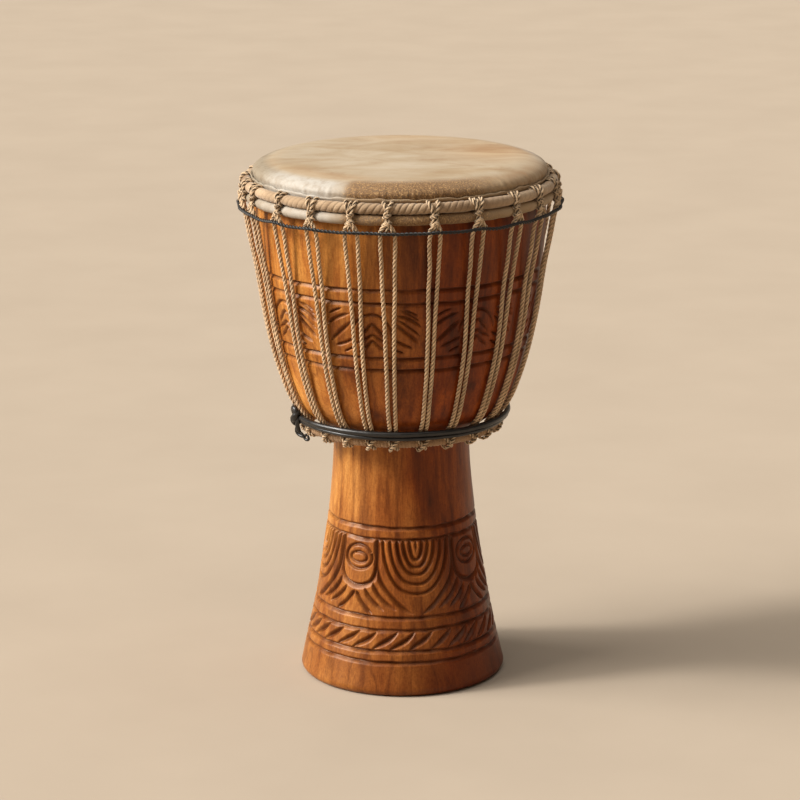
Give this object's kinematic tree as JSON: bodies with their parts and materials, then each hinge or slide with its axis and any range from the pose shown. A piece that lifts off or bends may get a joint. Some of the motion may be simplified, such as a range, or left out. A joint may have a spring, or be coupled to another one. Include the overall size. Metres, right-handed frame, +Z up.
{
  "type": "djembe",
  "caption": "Goblet-shaped rope-tuned hand drum: carved hollow hardwood shell, goat-skin head, steel rings bound in cloth and rope, and laced tension ropes.",
  "frame": {"origin": "centre of the foot, on the floor", "axes": "+Z up along the shell's axis towards the playing skin; -Y is the front"},
  "size_m": [0.3093, 0.3091, 0.5],
  "materials": {
    "carved_wood": "satin varnish over carved hardwood",
    "goat_hide": "dry raw hide with short hair round the edge",
    "ring_cloth": "twisted cotton cloth strip",
    "ring_rope_wrap": "cord wound tightly on the ring",
    "ring_steel": "welded plain rod",
    "loop_cord": "laid cotton cord",
    "tension_rope": "three-strand laid rope",
    "black_cord": "black synthetic cord"
  },
  "bodies": {
    "root": {"shell": "carved_wood", "drumhead": "goat_hide", "crown_ring_wrap": "ring_cloth", "crown_ring_rod": "ring_steel", "flesh_ring_rod": "ring_steel", "bottom_ring_wrap": "ring_rope_wrap", "bottom_ring_rod": "ring_steel", "crown_loop_01": "loop_cord", "crown_loop_02": "loop_cord", "crown_loop_03": "loop_cord", "crown_loop_04": "loop_cord", "crown_loop_05": "loop_cord", "crown_loop_06": "loop_cord", "crown_loop_07": "loop_cord", "crown_loop_08": "loop_cord", "crown_loop_09": "loop_cord", "crown_loop_10": "loop_cord", "crown_loop_11": "loop_cord", "crown_loop_12": "loop_cord", "crown_loop_13": "loop_cord", "crown_loop_14": "loop_cord", "crown_loop_15": "loop_cord", "crown_loop_16": "loop_cord", "crown_loop_17": "loop_cord", "crown_loop_18": "loop_cord", "crown_loop_19": "loop_cord", "crown_loop_20": "loop_cord", "crown_loop_21": "loop_cord", "crown_loop_22": "loop_cord", "crown_loop_23": "loop_cord", "crown_loop_24": "loop_cord", "tension_rope_01": "tension_rope", "tension_rope_02": "tension_rope", "tension_rope_03": "tension_rope", "tension_rope_04": "tension_rope", "tension_rope_05": "tension_rope", "tension_rope_06": "tension_rope", "tension_rope_07": "tension_rope", "tension_rope_08": "tension_rope", "tension_rope_09": "tension_rope", "tension_rope_10": "tension_rope", "tension_rope_11": "tension_rope", "tension_rope_12": "tension_rope", "tension_rope_13": "tension_rope", "tension_rope_14": "tension_rope", "tension_rope_15": "tension_rope", "tension_rope_16": "tension_rope", "tension_rope_17": "tension_rope", "tension_rope_18": "tension_rope", "tension_rope_19": "tension_rope", "tension_rope_20": "tension_rope", "tension_rope_21": "tension_rope", "tension_rope_22": "tension_rope", "tension_rope_23": "tension_rope", "tension_rope_24": "tension_rope", "bottom_hitches": "loop_cord", "top_binding_cord": "black_cord", "low_binding_cord": "black_cord"}
  },
  "joints": []
}
